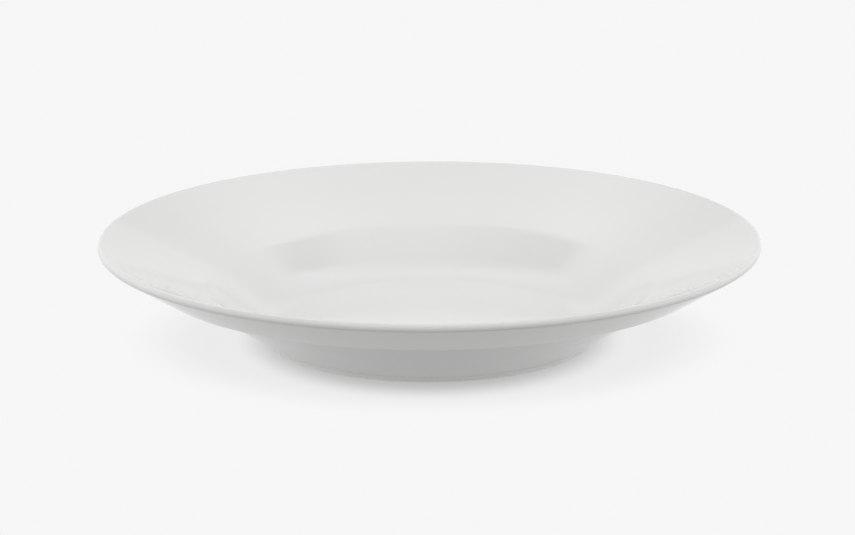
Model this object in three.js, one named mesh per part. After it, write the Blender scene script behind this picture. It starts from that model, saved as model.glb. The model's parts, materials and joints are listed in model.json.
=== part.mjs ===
import * as THREE from 'three';

// Deep plate of white porcelain: one fired body, and the glaze melted on to it. The glaze is two coats,
// because the standing ring under the plate is wiped bare before firing: one coat over the face, the edge and
// the back, and one inside the foot ring. Millimetres, +Z up. The origin is on the table, in the middle of the
// foot ring.

// Rim. Sizes of the plate are measured over the glaze.
const rim_radius = 120;
const plate_height = 37.7;
const lip_radius = 1.5; // the edge is fully round
const rim_slope = THREE.MathUtils.degToRad(24.5); // of the rim's face, from level
const band_width = 18.8; // the thickened band under the edge, measured inwards
const band_thickness = 5.7; // of the rim at the band's inner line
const band_line_round = 3;
const root_thickness = 3.2; // of the rim where it meets the wall
const root_round = 12;

// Well
const well_radius = 81; // where the rim turns down into the well
const well_edge_round = 20;
const wall_thickness = 3.8; // at the wall's ends
const wall_bulge = 0.5; // of the wall's back, about halfway up
const bulge_share = 0.85; // of the wall's run that the bulge's arc takes
const floor_thickness = 4;
const floor_round = 30; // between the wall and the floor, inside

// Foot ring
const foot_radius = 60.4;
const foot_width = 6;
const bare_height = 0.6; // of the ring's sides, from the table up
const glazed_flank = 1; // of the ring's outer side, above the bare part
const foot_root_round = 1.2;
const foot_edge_round = 0.4;
const recess_depth = 2.4; // inside the ring, from the table up
const recess_round = 1.5;

// Glaze
const glaze_thickness = 0.3;
const fused_layer = 0.05; // where glaze and body run into each other, left clear between the two solids

// Facets
const turns = 64; // around the plate
const arc_step = THREE.MathUtils.degToRad(30); // an arc has a facet for each of these begun, and one more

// A corner of the plate's section: radius, height above the table, and the radius of the arc that rounds it.
function corner(r, z, round = 0) {
  return { at: new THREE.Vector2(r, z), round };
}

// Unit vector that points outwards and up at this slope.
function uphill(slope) {
  return new THREE.Vector2(Math.cos(slope), Math.sin(slope));
}

// Where two lines of the section meet, each given by a point and its slope.
function crossing(p, p_slope, q, q_slope) {
  const along = uphill(p_slope);
  const across = uphill(q_slope);
  const t = q.clone().sub(p).cross(across) / along.cross(across);
  return along.multiplyScalar(t).add(p);
}

// The section's sides, as unit vectors from each corner to the next.
function sides(corners) {
  return corners.slice(1).map((next, i) => next.at.clone().sub(corners[i].at).normalize());
}

// Moves every side of an outline by `depth` into the material, which lies on the left of the outline. A
// round that bulges out of the material gets smaller by as much, and a hollow one larger.
function inset(corners, depth) {
  const left = sides(corners).map((side) => new THREE.Vector2(-side.y, side.x));
  return corners.map(({ at, round }, i) => {
    const before = left[Math.max(i - 1, 0)];
    const after = left[Math.min(i, left.length - 1)];
    const shift = before.clone().add(after).multiplyScalar(depth / (1 + before.dot(after)));
    const bulge = Math.sign(before.cross(after));
    return { at: shift.add(at), round: round && Math.max(round - bulge * depth, 0) };
  });
}

// Points along an outline, with each rounded corner replaced by the arc that touches both of its sides.
function rounded(corners) {
  const along = sides(corners);
  return corners.flatMap(({ at, round }, i) => {
    if (!round) return [at];
    const turn = along[i - 1].angleTo(along[i]);
    const bulge = Math.sign(along[i - 1].cross(along[i]));
    const inward = along[i].clone().sub(along[i - 1]).setLength(round / Math.cos(turn / 2));
    const centre = inward.add(at);
    const start = along[i - 1].angle() - bulge * Math.PI / 2;
    const arc = new THREE.ArcCurve(centre.x, centre.y, round, start, start + bulge * turn, bulge < 0);
    return arc.getPoints(Math.ceil(turn / arc_step) + 1);
  });
}

// Solid of revolution about the upright axis. Its section runs from the axis out and back, with the material
// on the left.
function turned(name, section, material) {
  const geometry = new THREE.LatheGeometry(section, turns).rotateX(Math.PI / 2);
  const mesh = new THREE.Mesh(geometry, material);
  mesh.name = name;
  return mesh;
}

// The rim's face touches the round lip, and so does the slope of the band under it.
const lip_centre = new THREE.Vector2(rim_radius - lip_radius, plate_height - lip_radius);
const face_reach = lip_radius / Math.tan(Math.PI / 4 - rim_slope / 2);
const face_top = new THREE.Vector2(rim_radius, lip_centre.y + face_reach);

// The point at this radius that lies `depth` under the rim's face, measured square to it.
function under_face(radius, depth) {
  const drop = (rim_radius - radius) * Math.tan(rim_slope) + depth / Math.cos(rim_slope);
  return new THREE.Vector2(radius, face_top.y - drop);
}

const well_edge = under_face(well_radius, 0);
const band_line = under_face(rim_radius - band_width, band_thickness);
const to_lip = lip_centre.clone().sub(band_line);
const band_slope = to_lip.angle() - Math.asin(lip_radius / to_lip.length());
const band_reach = lip_radius / Math.tan(Math.PI / 4 + band_slope / 2);

// The wall runs from the well's edge to the top of the foot ring's side, with both faces at one slope.
const foot_top = new THREE.Vector2(foot_radius, bare_height + glazed_flank);
const to_edge = well_edge.clone().sub(foot_top);
const wall_slope = to_edge.angle() - Math.asin(wall_thickness / to_edge.length());
const root = crossing(under_face(well_radius, root_thickness), rim_slope, foot_top, wall_slope);

// Its back bulges a little: one arc takes most of the run from the foot to the root of the rim.
const back_run = root.clone().sub(foot_top);
const out_of_wall = new THREE.Vector2(back_run.y, -back_run.x).setLength(2 * wall_bulge);
const wall_middle = foot_top.clone().lerp(root, 0.5).add(out_of_wall);
const bulge_round = bulge_share * back_run.lengthSq() / (8 * wall_bulge);

const floor_height = recess_depth + floor_thickness;
const level = 0;
const floor_edge = crossing(new THREE.Vector2(0, floor_height), level, well_edge, wall_slope);

// The glazed surface, from the foot ring's outer side up the back, over the lip and down to the middle of
// the floor, and the one inside the foot ring, from its middle out to the ring's inner side.
const recess_radius = foot_radius - foot_width;
const face_and_back = [
  corner(foot_radius, bare_height),
  corner(foot_top.x, foot_top.y, foot_root_round),
  corner(wall_middle.x, wall_middle.y, bulge_round),
  corner(root.x, root.y, root_round),
  corner(band_line.x, band_line.y, band_line_round),
  corner(rim_radius, lip_centre.y - band_reach, lip_radius),
  corner(face_top.x, face_top.y, lip_radius),
  corner(well_edge.x, well_edge.y, well_edge_round),
  corner(floor_edge.x, floor_edge.y, floor_round),
  corner(0, floor_height),
];
const base = [
  corner(0, recess_depth),
  corner(recess_radius, recess_depth, recess_round),
  corner(recess_radius, bare_height),
];

const body_depth = glaze_thickness + fused_layer;
const body_section = rounded([
  ...inset(base, body_depth),
  corner(recess_radius + body_depth, 0, foot_edge_round),
  corner(foot_radius - body_depth, 0, foot_edge_round),
  ...inset(face_and_back, body_depth),
]);

const face_section = [
  ...rounded(inset(face_and_back, glaze_thickness)).reverse(),
  ...rounded(face_and_back),
];

const base_section = [
  ...rounded(base),
  ...rounded(inset(base, glaze_thickness)).reverse(),
];

// Fired porcelain is a matt white, and the glaze a clear gloss over it.
const porcelain = new THREE.MeshStandardMaterial({ color: 0xe6e4de, roughness: 0.7, metalness: 0 });
const glaze = new THREE.MeshStandardMaterial({ color: 0xf0f0ee, roughness: 0.08, metalness: 0 });

const plate = new THREE.Group();
plate.add(
  turned('porcelain_body', body_section, porcelain),
  turned('face_glaze', face_section, glaze),
  turned('base_glaze', base_section, glaze),
);

export default plate;
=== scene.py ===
import json
import math

import bpy
import numpy as np
from mathutils import Matrix, Vector


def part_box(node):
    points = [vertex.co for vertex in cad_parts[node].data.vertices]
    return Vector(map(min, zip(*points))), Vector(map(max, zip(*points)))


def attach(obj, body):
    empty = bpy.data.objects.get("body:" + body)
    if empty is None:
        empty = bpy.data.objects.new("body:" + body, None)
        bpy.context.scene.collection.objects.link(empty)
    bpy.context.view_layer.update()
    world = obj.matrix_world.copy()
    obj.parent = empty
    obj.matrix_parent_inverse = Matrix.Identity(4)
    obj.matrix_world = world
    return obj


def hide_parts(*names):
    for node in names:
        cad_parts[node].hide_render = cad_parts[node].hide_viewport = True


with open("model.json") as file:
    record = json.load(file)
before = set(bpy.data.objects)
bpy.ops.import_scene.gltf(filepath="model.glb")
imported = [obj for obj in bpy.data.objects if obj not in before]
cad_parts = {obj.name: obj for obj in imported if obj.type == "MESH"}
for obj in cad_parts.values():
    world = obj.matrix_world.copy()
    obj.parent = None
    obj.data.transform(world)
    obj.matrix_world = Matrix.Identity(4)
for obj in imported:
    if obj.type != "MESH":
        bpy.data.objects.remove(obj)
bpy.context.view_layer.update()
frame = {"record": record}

# The fired body. One piece of porcelain, pressed to shape as clay and fired white, carries the whole plate:
# rim, wall, floor and foot ring. It is glazed all over but for the ring that it stands on, which is wiped
# bare.

mm = 0.001
mounts = {mount["name"]: Vector(mount["pos_m"]) for mount in frame["record"]["mounts"]}

glazed_bottom, glazed_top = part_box("face_glaze")
rim_radius = glazed_top.x
plate_height = glazed_top.z
lip_radius = 1.5 * mm
rim_slope = math.radians(24.5)
band_width = 18.8 * mm
band_thickness = 5.7 * mm
band_line_round = 3 * mm
root_thickness = 3.2 * mm
root_round = 12 * mm

well_radius = 81 * mm
well_edge_round = 20 * mm
wall_thickness = 3.8 * mm
wall_bulge = 0.5 * mm
bulge_share = 0.85
floor_height = mounts["well_floor"].z
floor_round = 30 * mm

foot_width = 6 * mm
foot_radius = mounts["foot_ring"].x + foot_width / 2
recess_radius = foot_radius - foot_width
bare_height = glazed_bottom.z
glazed_flank = 1 * mm
foot_root_round = 1.2 * mm
foot_edge_round = 0.4 * mm
recess_depth = 2.4 * mm
recess_round = 1.5 * mm

glaze_thickness = 0.3 * mm
fused_layer = 0.05 * mm
body_depth = glaze_thickness + fused_layer

arc_step = math.radians(2)
run_step = 4 * mm
crease_angle = math.radians(35)


def uphill(slope):
    """Unit vector of the section, as a complex number r + i z, that points outwards and up at a slope."""
    return complex(math.cos(slope), math.sin(slope))


def crossing(p, p_slope, q, q_slope):
    """Where the line through p meets the line through q, each at its slope."""
    along, across = uphill(p_slope), uphill(q_slope)
    reach = ((q - p) * across.conjugate()).imag / (along * across.conjugate()).imag
    return p + reach * along


def under_face(radius, depth):
    """The point of the section at this radius that lies depth under the rim's face, square to it."""
    drop = (rim_radius - radius) * math.tan(rim_slope) + depth / math.cos(rim_slope)
    return complex(radius, face_top.imag - drop)


def slope_past(start, end, distance):
    """Slope of the line from start that passes the point end at this distance, below it."""
    span = end - start
    return math.atan2(span.imag, span.real) - math.asin(distance / abs(span))


lip_centre = complex(rim_radius - lip_radius, plate_height - lip_radius)
face_top = complex(rim_radius, lip_centre.imag + lip_radius / math.tan(math.pi / 4 - rim_slope / 2))
well_edge = under_face(well_radius, 0)
band_line = under_face(rim_radius - band_width, band_thickness)
band_slope = slope_past(band_line, lip_centre, lip_radius)
band_end = complex(rim_radius, lip_centre.imag - lip_radius / math.tan(math.pi / 4 + band_slope / 2))
foot_top = complex(foot_radius, bare_height + glazed_flank)
wall_slope = slope_past(foot_top, well_edge, wall_thickness)
root = crossing(under_face(well_radius, root_thickness), rim_slope, foot_top, wall_slope)
floor_edge = crossing(complex(0, floor_height), 0, well_edge, wall_slope)

# The wall's back bulges a little: one arc takes most of the run from the foot to the root of the rim.
back_run = root - foot_top
wall_middle = foot_top + back_run / 2 - 2j * wall_bulge * back_run / abs(back_run)
bulge_round = bulge_share * abs(back_run) ** 2 / (8 * wall_bulge)

# Corners of the glazed surfaces, each a point of the section and the radius of its round, with the material
# on the left of the way: from the foot up the back, over the lip and down to the middle, and inside the foot
# ring.
face_and_back = [
    (complex(foot_radius, bare_height), 0),
    (foot_top, foot_root_round),
    (wall_middle, bulge_round),
    (root, root_round),
    (band_line, band_line_round),
    (band_end, lip_radius),
    (face_top, lip_radius),
    (well_edge, well_edge_round),
    (floor_edge, floor_round),
    (complex(0, floor_height), 0),
]
base = [
    (complex(0, recess_depth), 0),
    (complex(recess_radius, recess_depth), recess_round),
    (complex(recess_radius, bare_height), 0),
]


def inset(corners, depth):
    """The same outline moved by depth into the material. A corner moves along its bisector, so that both of
    its sides move by depth; a round that bulges out of the material shrinks by as much, and a hollow one
    grows."""
    at = np.array([point for point, _ in corners])
    side = np.diff(at) / abs(np.diff(at))
    before = 1j * np.concatenate([side[:1], side])
    after = 1j * np.concatenate([side, side[-1:]])
    turn = np.angle(after / before)
    moved = at + depth * (before + after) / (1 + np.cos(turn))
    rounds = np.array([size for _, size in corners])
    rounds = np.where(rounds > 0, np.maximum(rounds - np.sign(turn) * depth, 0), 0)
    return list(zip(moved, rounds))


def straight(start, end, run_step):
    """Points that divide the run from start to end into equal steps, without its two ends."""
    return np.linspace(start, end, math.ceil(abs(end - start) / run_step) + 1)[1:-1]


def outline(corners, arc_step=arc_step, run_step=run_step):
    """Points along an outline, as complex numbers. A corner becomes the arc of its round that touches both
    sides, turned about its centre in equal steps: the arc starts round tan(turn / 2) before the corner, and
    its centre lies square to the side there. A straight run between two arcs is divided into equal steps."""
    path = [np.array([corners[0][0]])]
    for (last, _), (point, size), (following, _) in zip(corners, corners[1:], corners[2:]):
        into = (point - last) / abs(point - last)
        out = (following - point) / abs(following - point)
        turn = np.angle(out / into)
        start = point - size * math.tan(abs(turn) / 2) * into
        centre = start + 1j * np.sign(turn) * size * into
        steps = math.ceil(abs(turn) / arc_step)
        swung = np.exp(1j * np.linspace(0, turn, steps + 1))
        arc = centre + (start - centre) * swung if size else np.array([point])
        path += [straight(path[-1][-1], arc[0], run_step), arc]
    path += [straight(path[-1][-1], corners[-1][0], run_step), np.array([corners[-1][0]])]
    return np.concatenate(path)


def turned(name, section, turns=200):
    """Closed surface of revolution. The section starts and ends on the axis with the material on its left,
    and each of its points (r, z) is carried round: x = r cos(angle), y = r sin(angle), z = z, at equally
    spaced angles. The points next to the axis are joined to it in a fan."""
    angle = np.arange(turns) * 2 * math.pi / turns
    ring = section[1:-1, None]
    carried = np.broadcast_arrays(ring.real * np.cos(angle), ring.real * np.sin(angle), ring.imag)
    poles = np.array([[0, 0, section[0].imag], [0, 0, section[-1].imag]])
    points = np.concatenate([np.stack(carried, axis=-1).reshape(-1, 3), poles])

    index = np.arange(ring.size * turns).reshape(-1, turns)
    onward = np.roll(index, -1, axis=1)
    quads = np.stack([index[:-1], onward[:-1], onward[1:], index[1:]], axis=-1).reshape(-1, 4)
    first_pole, last_pole = np.full((2, turns), [[index.size], [index.size + 1]])
    first_fan = np.stack([first_pole, onward[0], index[0]], axis=-1)
    last_fan = np.stack([last_pole, index[-1], onward[-1]], axis=-1)
    faces = [*quads.tolist(), *first_fan.tolist(), *last_fan.tolist()]

    mesh = bpy.data.meshes.new(name)
    mesh.from_pydata(points.tolist(), [], faces, shade_flat=False)
    mesh.set_sharp_from_angle(angle=crease_angle)
    piece = bpy.data.objects.new(name, mesh)
    bpy.context.collection.objects.link(piece)
    return piece


class Shade:
    """A socket of a node tree that gives a value. Arithmetic on shades and numbers adds Math nodes to it."""

    def __init__(self, tree, socket=None):
        self.tree = tree
        self.socket = socket

    def node(self, kind, settings=None, output=0, **sockets):
        """Adds a node of this type: its settings first, then a value or a link for each named socket."""
        made = self.tree.nodes.new("ShaderNode" + kind)
        for name, setting in (settings or {}).items():
            setattr(made, name, setting)
        self.fill(made, **sockets)
        return Shade(self.tree, made.outputs[output])

    def fill(self, node, **sockets):
        """Gives sockets of a node their value or link. A socket is named, or numbered as in _2."""
        for name, given in sockets.items():
            socket = node.inputs[int(name[1:]) if name.startswith("_") else name.replace("_", " ")]
            if isinstance(given, Shade):
                self.tree.links.new(given.socket, socket)
            else:
                socket.default_value = given

    def fade(self, start, end):
        """Rises smoothly from 0, where this value is at start, to 1 at end."""
        smooth = {"interpolation_type": "SMOOTHSTEP"}
        return self.node("MapRange", smooth, Value=self, From_Min=start, From_Max=end)

    def reach(self, weights=(1, 1, 1)):
        """Length of this vector, with each of its three parts first multiplied by its weight."""
        weighted = self.node("VectorMath", {"operation": "MULTIPLY"}, _0=self, _1=weights)
        return self.node("VectorMath", {"operation": "LENGTH"}, "Value", _0=weighted)

    def blend(self, first, second):
        """The first colour where this value is 0, the second where it is 1, and a mix between."""
        return self.node("Mix", {"data_type": "RGBA"}, 2, Factor=self, _6=first, _7=second)

    def maths(self, operation, first, second):
        """The result of a Math node on two shades or numbers."""
        return self.node("Math", {"operation": operation}, _0=first, _1=second)

    def __add__(self, other):
        return self.maths("ADD", self, other)

    def __radd__(self, other):
        return self.maths("ADD", other, self)

    def __sub__(self, other):
        return self.maths("SUBTRACT", self, other)

    def __rsub__(self, other):
        return self.maths("SUBTRACT", other, self)

    def __mul__(self, other):
        return self.maths("MULTIPLY", self, other)

    def __rmul__(self, other):
        return self.maths("MULTIPLY", other, self)


def new_finish(name):
    """A new material, a bare shade in its node tree, and the shader there that takes colour and roughness."""
    material = bpy.data.materials.new(name)
    material.use_nodes = True
    return material, Shade(material.node_tree), material.node_tree.nodes["Principled BSDF"]


bare_colour = (0.80, 0.79, 0.76, 1)
bare_shadow = (0.70, 0.685, 0.65, 1)
bare_roughness = 0.6
grain_scale = 4000
grain_depth = 0.04 * mm
grain_strength = 0.6
grain_roughness = 0.25
grain_share = 0.5
stain_scale = 90
stain_share = 0.4

bare_porcelain, shade, shader = new_finish("bare_porcelain")
place = shade.node("TexCoord", output="Object")
grain = shade.node("TexNoise", Vector=place, Scale=grain_scale, Detail=3)
stain = shade.node("TexNoise", Vector=place, Scale=stain_scale, Detail=4)
colour = (grain_share * grain + stain_share * stain).blend(bare_colour, bare_shadow)
bump = shade.node("Bump", Height=grain, Strength=grain_strength, Distance=grain_depth)
shade.fill(shader, Base_Color=colour, Roughness=bare_roughness + grain_roughness * grain, Normal=bump)

body = turned("fired_body", outline([
    *inset(base, body_depth),
    (complex(recess_radius + body_depth, 0), foot_edge_round),
    (complex(foot_radius - body_depth, 0), foot_edge_round),
    *inset(face_and_back, body_depth),
]))
body.data.materials.append(bare_porcelain)
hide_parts("porcelain_body")
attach(body, "root")

# The glaze inside the foot ring. A clear glass melted on to the white body, sprayed over the recess under the
# plate and wiped off the standing ring, where it ends in a soft rounded line. Glaze is thinner, and so less
# bright, at the foot; across the rim its colour carries painted shade that darkens towards the rim's edge. It
# sets with a faint ripple and a slightly clouded gloss.

glaze_edge_round = 0.15 * mm
glaze_colour = (0.74, 0.74, 0.737, 1)
glaze_thin_and_shaded_colour = (0.70, 0.697, 0.687, 1)
glaze_ior = 1.55
glaze_roughness = 0.06
ripple_scale = 60
ripple_depth = 0.0015 * mm
cloud_scale = 25
cloud_roughness = 0.05
cloud_share = 0.2
rim_shade_share = 0.8
foot_share = 0.5

glaze, shade, shader = new_finish("glaze")
place = shade.node("TexCoord", output="Object")
height = shade.node("SeparateXYZ", output="Z", Vector=place)
ripple = shade.node("TexNoise", Vector=place, Scale=ripple_scale, Detail=1)
cloud = shade.node("TexNoise", Vector=place, Scale=cloud_scale, Detail=3)
# Painted shade: the glaze's colour darkens across the rim, from the well's edge to the rim's edge.
rim_painted_shade = place.reach((1, 1, 0)).fade(well_radius, rim_radius)
at_foot = 1 - height.fade(bare_height, bare_height + 2 * glazed_flank)
# The darker colour comes from random cloud, from the painted shade on the rim, and from thin glaze at the
# foot.
thin_and_shaded = cloud_share * cloud + rim_shade_share * rim_painted_shade + foot_share * at_foot
bump = shade.node("Bump", Height=ripple, Strength=1, Distance=ripple_depth)
shade.fill(shader, Base_Color=thin_and_shaded.blend(glaze_colour, glaze_thin_and_shaded_colour), IOR=glaze_ior)
shade.fill(shader, Roughness=glaze_roughness + cloud_roughness * cloud, Normal=bump)

base_coat = turned("base_glaze_coat", outline([
    *base[:-1],
    (base[-1][0], glaze_edge_round),
    *inset(base, glaze_thickness)[::-1],
]))
base_coat.data.materials.append(glaze)
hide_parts("base_glaze")
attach(base_coat, "root")

# The glaze over the face, the edge and the back. The same clear glass, melted on in one coat from the middle
# of the well over the rounded lip and down the back to the foot ring.

face_coat = turned("face_glaze_coat", outline([
    *inset(face_and_back, glaze_thickness)[::-1],
    (face_and_back[0][0], glaze_edge_round),
    *face_and_back[1:],
]))
face_coat.data.materials.append(glaze)
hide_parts("face_glaze")
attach(face_coat, "root")

# The table. A round sheet of opal acrylic, turned up at its edge and lit from below as tables for still
# photographs are, most under the plate, whose underside so gets soft light. As seen by the camera and in the
# glaze, it carries a painted shadow round the plate: a dark core with a fainter and wider fringe, laid out by
# distance from the plate, in which the table's own glow and faint real shadow show. Further out it is white.

table_radius = 6.0
table_sweep = 1.5
table_edge_height = 2.5
table_thickness = 1 * mm
table_arc_step = math.radians(6)
table_run_step = 1.0
table_turns = 96

table_colour = (0.1, 0.1, 0.1, 1)
table_roughness = 0.9
table_shine = 0.1
table_white = 0.925
table_glow = 0.45
table_glow_far = 0.26
glow_start = 65 * mm
glow_end = 150 * mm

# The painted shadow's core is narrower from side to side than from front to back, and its fringe is wider.
core_start = 60 * mm
core_end = 82 * mm
core_squeeze = (1.13, 1, 1)
fringe_start = 70 * mm
fringe_end = 100 * mm
fringe_squeeze = (0.88, 1, 1)
fringe_share = 0.22

acrylic, shade, shader = new_finish("table_acrylic")
place = shade.node("TexCoord", output="Object")
glow = table_glow + (table_glow_far - table_glow) * place.reach().fade(glow_start, glow_end)
lit = shade.node("CombineColor", Red=glow, Green=glow, Blue=glow)
shade.fill(shader, Base_Color=table_colour, Roughness=table_roughness, Specular_IOR_Level=table_shine)
shade.fill(shader, Emission_Color=lit, Emission_Strength=1)
# Painted shadow: the table turns white with distance from the plate, measured with the sides squeezed, and
# stays darker close in.
past_core = place.reach(core_squeeze).fade(core_start, core_end)
past_fringe = place.reach(fringe_squeeze).fade(fringe_start, fringe_end)
past_painted_shadow = (1 - fringe_share) * past_core + fringe_share * past_fringe
seeing_rays = ("Is Camera Ray", "Is Glossy Ray", "Is Transmission Ray")
seen = sum(shade.node("LightPath", output=ray) for ray in seeing_rays)
white = shade.node("Emission", Strength=table_white)
grey = Shade(shade.tree, shader.outputs["BSDF"])
surface = shade.node("MixShader", Fac=seen * past_painted_shadow, _1=grey, _2=white)
shade.fill(acrylic.node_tree.nodes["Material Output"], Surface=surface)

table_section = [
    (complex(0, -table_thickness), 0),
    (complex(table_radius, -table_thickness), table_sweep),
    (complex(table_radius, table_edge_height), 0),
    (complex(table_radius - table_thickness, table_edge_height), 0),
    (complex(table_radius - table_thickness, 0), table_sweep - table_thickness),
    (complex(0, 0), 0),
]
table = turned("table", outline(table_section, table_arc_step, table_run_step), table_turns)
table.data.materials.append(acrylic)

# Soft studio light. Lit sheets of white cloth stand at both sides of the plate and hang over it, and light it
# without being mirrored. What its glaze mirrors is the white room around, which is brighter high up and at
# the sides, with dark cards high at the left and the right and dimmer parts of the roof.

side_cloth_size = (1.9, 0.8)
side_cloth_reach = 0.95
side_cloth_forward = 0.1
side_cloth_height = 0.4
left_glow = 1.75
right_glow = 1.6
top_cloth_size = (1.1, 1.1)
top_cloth_height = 1.3
top_glow = 1.0


def lit_cloth(name, place, facing, size, glow):
    """A flat lamp that is as bright as a white surface in full light times glow, wherever it is seen from."""
    width, height = size
    lamp = bpy.data.lights.new(name, "AREA")
    lamp.shape = "RECTANGLE"
    lamp.size = width
    lamp.size_y = height
    lamp.energy = glow * math.pi * width * height
    holder = bpy.data.objects.new(name, lamp)
    holder.location = place
    holder.rotation_euler = Vector(facing).to_track_quat("-Z", "Y").to_euler()
    holder.visible_camera = False
    holder.visible_glossy = False
    bpy.context.collection.objects.link(holder)


left_place = (-side_cloth_reach, -side_cloth_forward, side_cloth_height)
right_place = (side_cloth_reach, -side_cloth_forward, side_cloth_height)
lit_cloth("left_cloth", left_place, (1, 0, 0), side_cloth_size, left_glow)
lit_cloth("right_cloth", right_place, (-1, 0, 0), side_cloth_size, right_glow)
lit_cloth("top_cloth", (0, 0, top_cloth_height), (0, 0, -1), top_cloth_size, top_glow)

# Brightness of the room, and where it changes: the upward part of a direction is the sine of its rise, and
# the sideways part is squared so that left and right are alike.
wall_light = 0.74
roof_light = 1.2
roof_rise = (0.5, 0.8)
side_light = 0.5
side_turn = (0.4, 0.6)
side_rise = (0.5, 0.6)

# Of each dark area, the turn and rise of its middle, its inner and its outer edge, all in degrees, and how
# dark it is.
dark_areas = {
    "left card": (-83, 45, 26, 28, 0.95),
    "right card": (78, 41, 23, 30, 0.95),
    "dim roof": (0, 90, 14, 38, 0.4),
    "dim roof at the left": (-70, 60, 10, 30, 0.6),
}

room = bpy.data.worlds.new("room")
bpy.context.scene.world = room
room.use_nodes = True
shade = Shade(room.node_tree)
direction = shade.node("TexCoord", output="Generated")


def open_past(turn, rise, inner, outer, darkness):
    """What a dark area leaves of the room's light: all of it outside its outer edge, and 1 - darkness inside
    the inner edge. The edges are angles from its middle, the direction that is turned from the back to the
    right and raised by the first two angles."""
    turn, rise, inner, outer = np.radians((turn, rise, inner, outer))
    middle = (math.sin(turn) * math.cos(rise), math.cos(turn) * math.cos(rise), math.sin(rise))
    nearness = shade.node("VectorMath", {"operation": "DOT_PRODUCT"}, "Value", _0=direction, _1=middle)
    return 1 - darkness * nearness.fade(math.cos(outer), math.cos(inner))


upward = shade.node("SeparateXYZ", output="Z", Vector=direction)
sideways = shade.node("SeparateXYZ", output="X", Vector=direction)
at_side = (sideways * sideways).fade(*side_turn) * (1 - upward.fade(*side_rise))
room_light = wall_light + (roof_light - wall_light) * upward.fade(*roof_rise) + side_light * at_side
room_light = math.prod((open_past(*area) for area in dark_areas.values()), start=room_light)
shade.fill(room.node_tree.nodes["Background"], Color=(1, 1, 1, 1), Strength=room_light)

# The camera. It stands low in front of the plate and well back, with a long lens, and looks a little below
# the plate's rim, so that the plate lies just above the middle of the picture. Its pan and roll are slight,
# as of a camera that was set by eye.

view_elevation = math.radians(14.25)
view_distance = 1.2
view_target = Vector((0, 0, face_top.imag))
camera_tilt = math.radians(14.85)
camera_pan = math.radians(0.037)
camera_roll = math.radians(-0.2)
camera_lens = 139.2
camera_sensor = 36

camera = bpy.data.objects.new("camera", bpy.data.cameras.new("camera"))
camera.data.lens = camera_lens
camera.data.sensor_width = camera_sensor
back_off = Vector((0, -math.cos(view_elevation), math.sin(view_elevation)))
camera.location = view_target + view_distance * back_off
pan = Matrix.Rotation(camera_pan, 3, "Z")
tilt = Matrix.Rotation(math.pi / 2 - camera_tilt, 3, "X")
roll = Matrix.Rotation(camera_roll, 3, "Z")
camera.rotation_euler = (pan @ tilt @ roll).to_euler()
bpy.context.collection.objects.link(camera)
bpy.context.scene.camera = camera

bpy.context.scene.view_settings.view_transform = "Standard"
